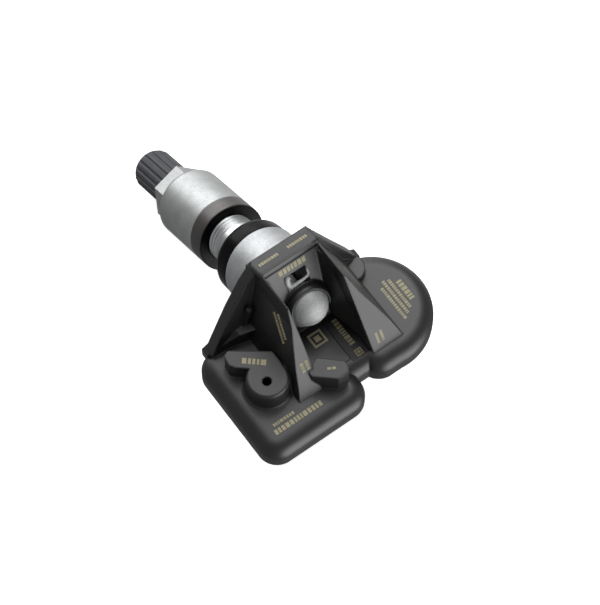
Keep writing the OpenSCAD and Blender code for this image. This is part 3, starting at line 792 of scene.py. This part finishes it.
@dataclass
class NutShape:
    """The clamp nut with its long hexagon: a turned sleeve and the hexagon behind it.

    Attributes:
        radius: The sleeve's radius.
        start: Place of its face along the valve.
        shoulder: Place where the hexagon starts.
        end: Place where the hexagon ends.
        across_flats: Width of the hexagon.
        turn: Angle of its first flat in degrees.
        bore: Radius of the wide bore.
        mouth: Radius of the narrow bore.
        mouth_length: Length of the narrow bore.
        bore_step: Length of the cone between the bores.
        shoulder_round: Radius of the sleeve's rounded shoulder.
        face_chamfer: Chamfer round the sleeve's face.
        end_chamfer: Chamfer round the hexagon's end.
        steps: Faces round the nut.
        round_steps: Faces along the rounded shoulder.
        sharp: Angle in degrees from which an edge shows as sharp.
    """

    radius: float = 8.15
    start: float = 35.4
    shoulder: float = 50.6
    end: float = 55.1
    across_flats: float = 12.0
    turn: float = 73.0
    bore: float = 5.71
    mouth: float = 5.05
    mouth_length: float = 5.0
    bore_step: float = 0.7
    shoulder_round: float = 1.5
    face_chamfer: float = 0.3
    end_chamfer: float = 0.12
    steps: int = 72
    round_steps: int = 10
    sharp: float = 25.0

    def profile(self) -> list[Pair]:
        """Gives the nut's section.

        Returns:
            Its corners, each as radius and place along the valve.
        """
        full, half, bevel = self.radius, self.across_flats / 2, self.end_chamfer
        mid_r, mid_s = full - self.shoulder_round, self.shoulder - self.shoulder_round
        turns = (math.radians(90 * k / self.round_steps) for k in range(self.round_steps + 1))
        arc = [(mid_r + self.shoulder_round * math.cos(a),
                mid_s + self.shoulder_round * math.sin(a)) for a in turns]
        narrow = self.end - self.mouth_length
        return [(self.bore, self.start), (full - self.face_chamfer, self.start),
                (full, self.start + self.face_chamfer), *arc, (half, self.shoulder),
                (half, self.end - bevel), (half - bevel, self.end), (self.mouth, self.end),
                (self.mouth, narrow), (self.bore, narrow - self.bore_step)]

    def flatten(self, bm: bmesh.types.BMesh, first: float) -> None:
        """Moves the round end's corners out onto the hexagon.

        Args:
            bm: The spun nut.
            first: Angle of one of the hexagon's corners.
        """
        slack = 0.01
        inner, outer = self.mouth + slack, self.across_flats / 2 + slack
        for vert in bm.verts:
            if vert.co.z > self.shoulder - slack and inner < vert.co.xy.length < outer:
                from_corner = math.atan2(vert.co.y, vert.co.x) - first
                from_flat = from_corner % (math.pi / 3) - math.pi / 6
                vert.co.xy = vert.co.xy / math.cos(from_flat)

    def build(self) -> None:
        """Builds the nut in place of the CAD's own."""
        bm = bmesh.new()
        first = math.radians(self.turn + 30)
        loop(bm, [(r * math.cos(first), r * math.sin(first), s) for r, s in self.profile()])
        bmesh.ops.spin(bm, geom=[*bm.verts, *bm.edges], cent=(0, 0, 0), axis=(0, 0, 1),
                       dvec=(0, 0, 0), angle=2 * math.pi, steps=self.steps, use_merge=True)
        self.flatten(bm, first)
        obj = piece("nut_shape", bm, VALVE, Finishes.NUT, Body.NUT)
        obj.data.set_sharp_from_angle(angle=math.radians(self.sharp))
        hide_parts("clamp_nut")


@dataclass
class BoardDetails:
    """Chip legs and solder pads on the circuit board.

    Attributes:
        top: Height of the board's top.
        chip_x: The chip's middle line.
        leg_y: Place of the first leg on each side.
        leg_pitch: Distance between legs.
        legs: Legs on each side.
        foot_out, foot: Distance of a leg's foot from the middle line, and its size.
        post_out, post_up, post: Distance of a leg's upright part from that line, height of its
            middle above the board, and its size.
        leg_bevel: Bevel of both.
        parts: Corners of the small board parts.
        pad_x: Places of a part's two pads from its corner.
        pad_y: Place of both across the part.
        pad: Size of a pad.
        pad_bevel: Bevel of a pad.
    """

    top: float = 3.2
    chip_x: float = 16.6
    leg_y: float = 11.2
    leg_pitch: float = 1.2
    legs: int = 5
    foot_out: float = 3.75
    foot: Triple = (0.7, 0.45, 0.16)
    post_out: float = 3.56
    post_up: float = 0.4
    post: Triple = (0.14, 0.45, 0.7)
    leg_bevel: float = 0.03
    parts: tuple[Pair, ...] = ((4, 20), (6.4, 20), (4, 22.3), (6.4, 22.3), (19.9, 18.5),
                               (19.9, 20.5), (10.4, 22.3))
    pad_x: Pair = (-0.1, 1.7)
    pad_y: float = 0.4
    pad: Triple = (0.5, 0.9, 0.3)
    pad_bevel: float = 0.08

    def build(self) -> None:
        """Builds the small metal parts of the board."""
        legs = bmesh.new()
        for side in (-1, 1):
            for i in range(self.legs):
                for out, up, size in ((self.foot_out, self.foot[2] / 2, self.foot),
                                      (self.post_out, self.post_up, self.post)):
                    spot = (self.chip_x + side * out, self.leg_y + i * self.leg_pitch,
                            self.top + up)
                    block(legs, size, Matrix.Translation(spot), self.leg_bevel)
        piece("chip_legs", legs, BASE, Finishes.NICKEL, Body.SENSOR, smooth=False)
        pads = bmesh.new()
        for x, y in self.parts:
            for dx in self.pad_x:
                spot = (x + dx, y + self.pad_y, self.top + self.pad[2] / 2)
                block(pads, self.pad, Matrix.Translation(spot), self.pad_bevel)
        piece("solder_pads", pads, BASE, Finishes.NICKEL, Body.SENSOR)


@dataclass
class CoilTurns:
    """The turns round the coil's core, each a flat ring across it with no thickness.

    Attributes:
        turns: How many turns.
        wire: Half the width of a ring.
        radius: Radius of a ring's middle line.
        first: Middle of the first ring.
        span: Distance from the first ring to the last.
        sides: Corners of the circle that is spun.
        steps: Faces along a ring.
    """

    turns: int = 14
    wire: float = 0.17
    radius: float = 1.15
    first: Triple = (14.65, 3.6, 4.4)
    span: float = 5.1
    sides: int = 8
    steps: int = 32

    def build(self) -> None:
        """Spins a circle in its own plane, repeats the ring and replaces the CAD's winding."""
        bm = bmesh.new()
        at = Matrix.Translation(Vector(self.first) + Vector((0, self.radius, 0)))
        bmesh.ops.create_circle(bm, segments=self.sides, radius=self.wire,
                                matrix=at @ Matrix.Rotation(math.pi / 2, 4, "Y"))
        bmesh.ops.spin(bm, geom=[*bm.verts, *bm.edges], cent=self.first, axis=(1, 0, 0),
                       dvec=(0, 0, 0), angle=2 * math.pi, steps=self.steps, use_merge=True)
        turn = [*bm.verts, *bm.edges, *bm.faces]
        for i in range(1, self.turns):
            copy = bmesh.ops.duplicate(bm, geom=turn)["geom"]
            verts = [item for item in copy if isinstance(item, bmesh.types.BMVert)]
            bmesh.ops.translate(bm, vec=(i * self.span / (self.turns - 1), 0, 0), verts=verts)
        obj = piece("coil_turns", bm, BASE, Finishes.COPPER, Body.SENSOR)
        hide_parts("lf_winding")


@dataclass(frozen=True)
class Panel:
    """One soft panel of the room.

    Attributes:
        aim: Direction in which it stands.
        wide: Half angle in degrees at which its glow ends.
        full: Half angle in degrees up to which it has its full glow.
        glow: Its glow.
    """

    aim: Triple
    wide: float
    full: float
    glow: float


@dataclass(frozen=True)
class Lamp:
    """One soft area light, in metres.

    Attributes:
        name: Its name.
        place: Where it hangs.
        aim: What it looks at.
        size: Its width and height.
        watts: Its power.
    """

    name: str
    place: Triple
    aim: Triple
    size: Pair
    watts: float


@dataclass
class Studio:
    """Floor, light and camera.

    Attributes:
        eye_mm: The camera's place.
        azimuth, elevation: Direction from the object to the camera in degrees.
        focal_px: The photograph's focal length in pixels.
        frame_px: The photograph's longer side in pixels.
        sensor_mm: Width of the camera's sensor.
        clip: Nearest and farthest distance that the camera sees, in metres.
        floor_z: Height of the floor in metres.
        floor_half: Half the floor's width in metres.
        floor_glow: How much the floor glows by itself.
        below, horizon: The room's light from below and from the horizon up.
        below_z, horizon_z: Heights of the two on a sphere of radius 1.
        panels: Soft panels of the room.
        lamps: Lights near the object.
    """

    eye_mm: Triple = (140.486, 214.355, 523.996)
    azimuth: float = 54.045
    elevation: float = 65.106
    focal_px: float = 2657.5
    frame_px: float = 605.0
    sensor_mm: float = 36.0
    clip: Pair = (0.01, 50.0)
    floor_z: float = -0.0245
    floor_half: float = 3.0
    floor_glow: float = 0.62
    below: float = 0.22
    horizon: float = 0.36
    below_z: float = -0.85
    horizon_z: float = -0.15
    panels: tuple[Panel, ...] = (
        Panel((-0.25, 0.95, -0.18), 38, 14, 4.6), Panel((-0.25, -0.86, 0.45), 44, 22, 1.35),
        Panel((-0.25, -0.34, 0.91), 40, 12, 1.7), Panel((-0.7, -0.6, -0.4), 34, 12, 0.55))
    lamps: tuple[Lamp, ...] = (
        Lamp("streak_box", (-0.1, -0.6, 0.19), (0, -0.01, 0), (0.54, 0.30), 0.8),
        Lamp("lobe_box", (-0.1, -0.06, 0.22), (-0.02, 0.03, 0), (0.07, 0.07), 0.09))

    def floor(self) -> None:
        """Lays the plain pale floor, which can't be seen from below."""
        bm = bmesh.new()
        bmesh.ops.create_grid(bm, x_segments=1, y_segments=1, size=self.floor_half,
                              matrix=Matrix.Translation((0, 0, self.floor_z)))
        mesh = bpy.data.meshes.new("floor")
        bm.to_mesh(mesh)
        bm.free()
        obj = bpy.data.objects.new("floor", mesh)
        bpy.context.scene.collection.objects.link(obj)
        mat = bpy.data.materials.new("pale_floor")
        mat.use_nodes = True
        tree = mat.node_tree
        tree.nodes.clear()
        paint = add(tree, "BsdfPrincipled",
                    {"Base Color": linear("#fafafa"), "Roughness": 0.9, "Specular IOR Level": 0.0,
                     "Emission Color": (1, 1, 1, 1), "Emission Strength": self.floor_glow})
        side = add(tree, "NewGeometry")
        clear = add(tree, "BsdfTransparent")
        mix = add(tree, "MixShader", {}, {0: side.outputs["Backfacing"], 1: paint.outputs[0],
                                          2: clear.outputs[0]})
        add(tree, "OutputMaterial", {}, {"Surface": mix.outputs[0]})
        mesh.materials.append(mat)
        obj.visible_glossy = False
        obj.visible_diffuse = False
        obj.visible_shadow = False

    def light(self, lamp: Lamp) -> None:
        """Hangs one soft area light.

        Args:
            lamp: The light.
        """
        data = bpy.data.lights.new(lamp.name, "AREA")
        data.shape = "RECTANGLE"
        data.size, data.size_y = lamp.size
        data.energy = lamp.watts
        obj = bpy.data.objects.new(lamp.name, data)
        obj.location = lamp.place
        look = Vector(lamp.aim) - Vector(lamp.place)
        obj.rotation_euler = look.to_track_quat("-Z", "Y").to_euler()
        bpy.context.scene.collection.objects.link(obj)

    def world(self) -> None:
        """Sets a grey room with soft white panels in it."""
        world = bpy.data.worlds.new("grey_room")
        world.use_nodes = True
        tree = world.node_tree
        tree.nodes.clear()
        way = add(tree, "TexCoord").outputs["Generated"]
        split = add(tree, "SeparateXYZ", {}, {0: way})
        level = add(tree, "MapRange", {1: self.below_z, 2: self.horizon_z, 3: self.below,
                                       4: self.horizon}, {0: split.outputs[2]}).outputs[0]
        for panel in self.panels:
            aim = add(tree, "VectorMath", {"operation": "DOT_PRODUCT", 1: panel.aim}, {0: way})
            wide, full = (math.cos(math.radians(a)) for a in (panel.wide, panel.full))
            glow = add(tree, "MapRange", {"interpolation_type": "SMOOTHSTEP", 1: wide, 2: full,
                                          4: panel.glow}, {0: aim.outputs["Value"]})
            level = add(tree, "Math", {"operation": "ADD"},
                        {0: level, 1: glow.outputs[0]}).outputs[0]
        back = add(tree, "Background", {"Color": (1, 1, 1, 1)}, {"Strength": level})
        add(tree, "OutputWorld", {}, {"Surface": back.outputs[0]})
        bpy.context.scene.world = world

    def camera(self) -> None:
        """Sets the camera at the photograph's viewing angle."""
        az, el = math.radians(self.azimuth), math.radians(self.elevation)
        back = Vector((math.cos(el) * math.cos(az), math.cos(el) * math.sin(az), math.sin(el)))
        right = Vector((-math.sin(az), math.cos(az), 0.0))
        data = bpy.data.cameras.new("camera")
        data.sensor_width = self.sensor_mm
        data.lens = self.focal_px * self.sensor_mm / self.frame_px
        data.clip_start, data.clip_end = self.clip
        obj = bpy.data.objects.new("camera", data)
        obj.rotation_euler = Matrix((right, back.cross(right), back)).transposed().to_euler()
        obj.location = Vector(self.eye_mm) * MM
        bpy.context.scene.collection.objects.link(obj)
        bpy.context.scene.camera = obj

    def build(self) -> None:
        """Builds the whole studio."""
        self.floor()
        self.world()
        for lamp in self.lamps:
            self.light(lamp)
        self.camera()
        bpy.context.scene.view_settings.view_transform = "Standard"


def main() -> None:
    """Builds every sub-assembly in order."""
    logging.basicConfig(level=logging.INFO, format="%(name)s: %(message)s")
    for part in (Studio(), Dress(), Bridge(), BallClip(), SocketLip(), NutShape(), Marks(),
                 BoardDetails(), CoilTurns()):
        part.build()


if __name__ == "__main__":
    main()
